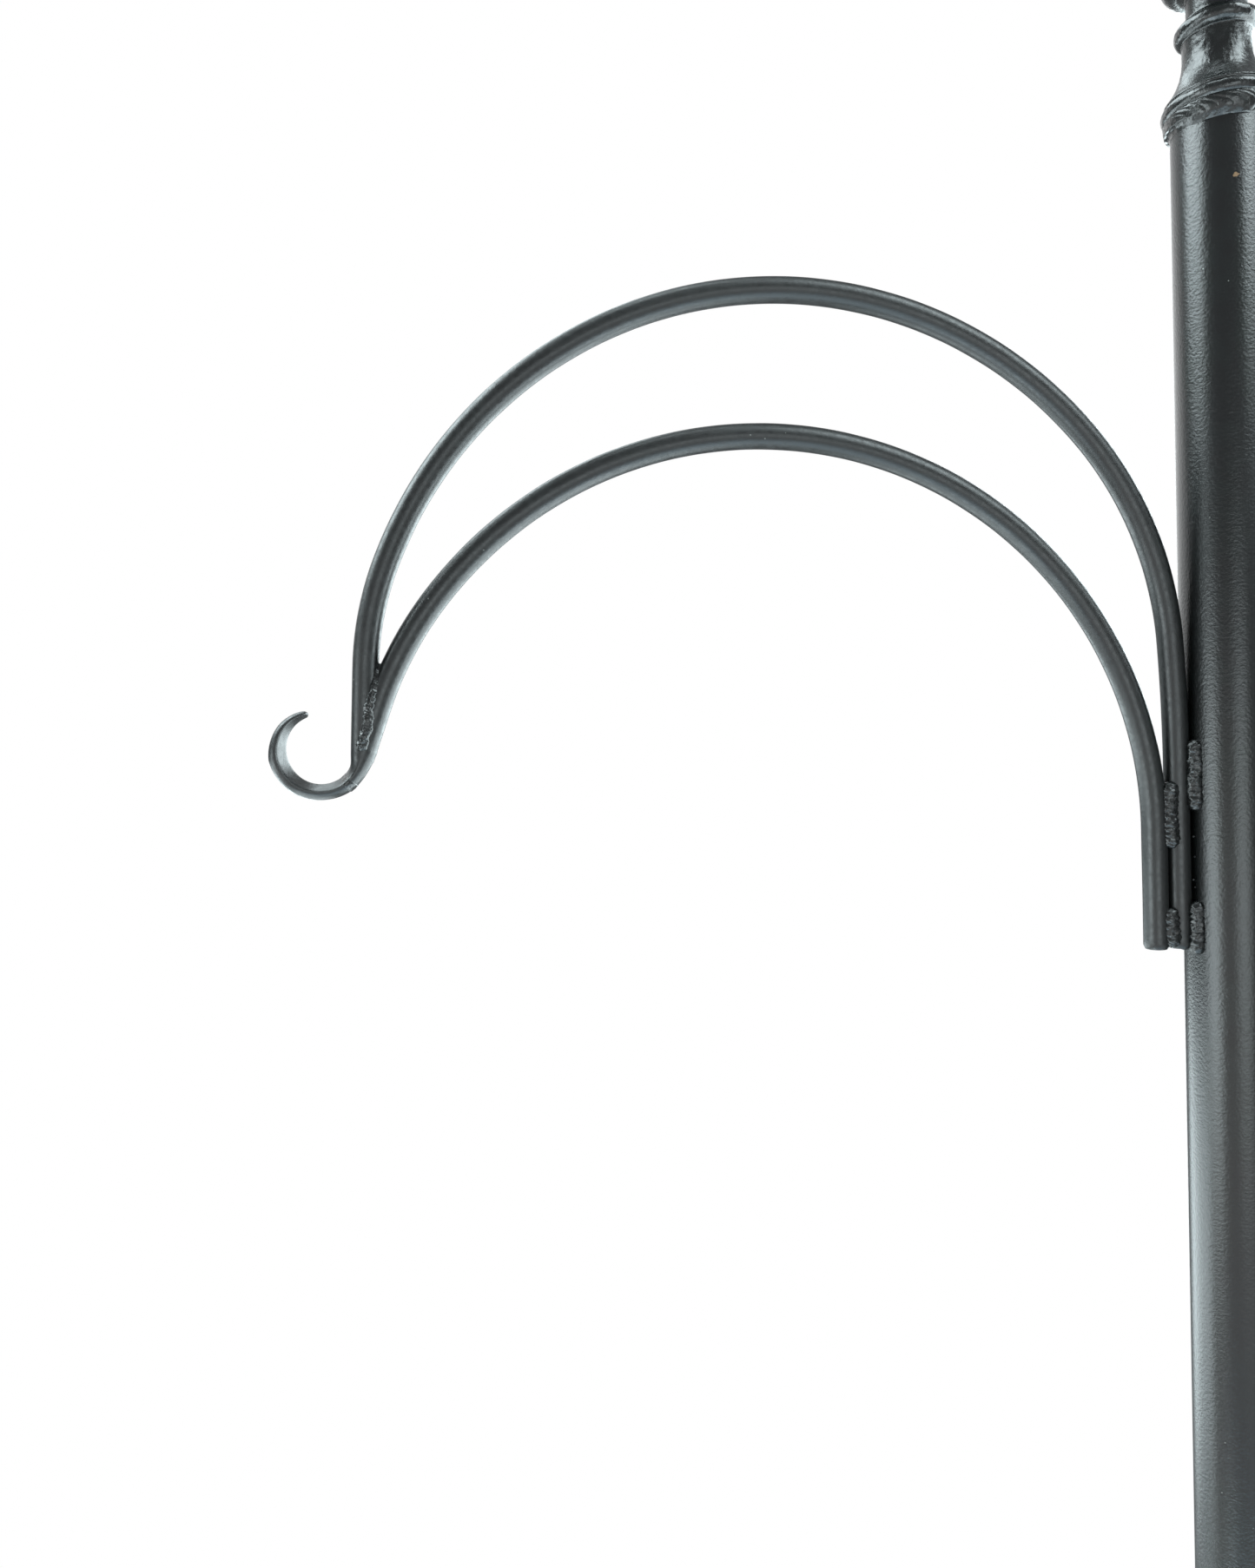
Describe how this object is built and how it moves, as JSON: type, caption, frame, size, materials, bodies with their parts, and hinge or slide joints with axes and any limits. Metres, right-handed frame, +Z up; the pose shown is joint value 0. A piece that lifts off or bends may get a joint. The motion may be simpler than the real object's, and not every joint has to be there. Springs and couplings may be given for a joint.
{
  "type": "bird feeder pole",
  "caption": "Steel garden pole with two arched hook arms for hanging bird feeders, a turned cast finial and a bolt-down socket base.",
  "frame": {"origin": "on the pole's axis at the underside of the base plate", "axes": "+Z up the pole, +X towards the right arm, -X towards the left arm"},
  "size_m": [0.737, 0.2, 1.8757],
  "materials": {
    "powder_coat": "satin black powder coat with fine orange peel",
    "coated_bar": "satin black powder coat on round bar",
    "coated_casting": "satin black powder coat over a rough sand casting",
    "coated_weld": "black powder coat over rippled weld bead",
    "zinc_steel": "zinc plated",
    "black_plastic": "matt"
  },
  "bodies": {
    "base": {"base_plate": "powder_coat", "socket_tube": "powder_coat", "socket_weld": "coated_weld", "socket_gussets": "powder_coat", "gusset_welds": "coated_weld", "lock_nuts": "powder_coat"},
    "left_lock_screw": {"lock_screw_left": "zinc_steel"},
    "right_lock_screw": {"lock_screw_right": "zinc_steel"},
    "lower_section": {"lower_pole_tube": "powder_coat", "foot_plug": "black_plastic"},
    "upper_section": {"upper_pole_tube": "powder_coat", "finial_casting": "coated_casting", "finial_weld": "coated_weld", "left_upper_rod": "coated_bar", "left_lower_rod": "coated_bar", "left_hook": "coated_bar", "left_hook_weld": "coated_weld", "left_tip_weld": "coated_weld", "left_rod_welds": "coated_weld", "left_pole_welds": "coated_weld", "right_upper_rod": "coated_bar", "right_lower_rod": "coated_bar", "right_hook": "coated_bar", "right_hook_weld": "coated_weld", "right_tip_weld": "coated_weld", "right_rod_welds": "coated_weld", "right_pole_welds": "coated_weld"}
  },
  "joints": [
    {"name": "pole_turn", "type": "hinge", "parent": "base", "child": "lower_section", "pos_m": [0, 0, 0.006], "axis": [0, 0, 1], "continuous": true},
    {"name": "section_lift", "type": "slide", "parent": "lower_section", "child": "upper_section", "axis": [0, 0, 1], "range_m": [0, 0.075]},
    {"name": "left_screw_travel", "type": "slide", "parent": "base", "child": "left_lock_screw", "axis": [-1, 0, 0], "range_m": [0, 0.006]},
    {"name": "right_screw_travel", "type": "slide", "parent": "base", "child": "right_lock_screw", "axis": [1, 0, 0], "range_m": [0, 0.006]}
  ]
}
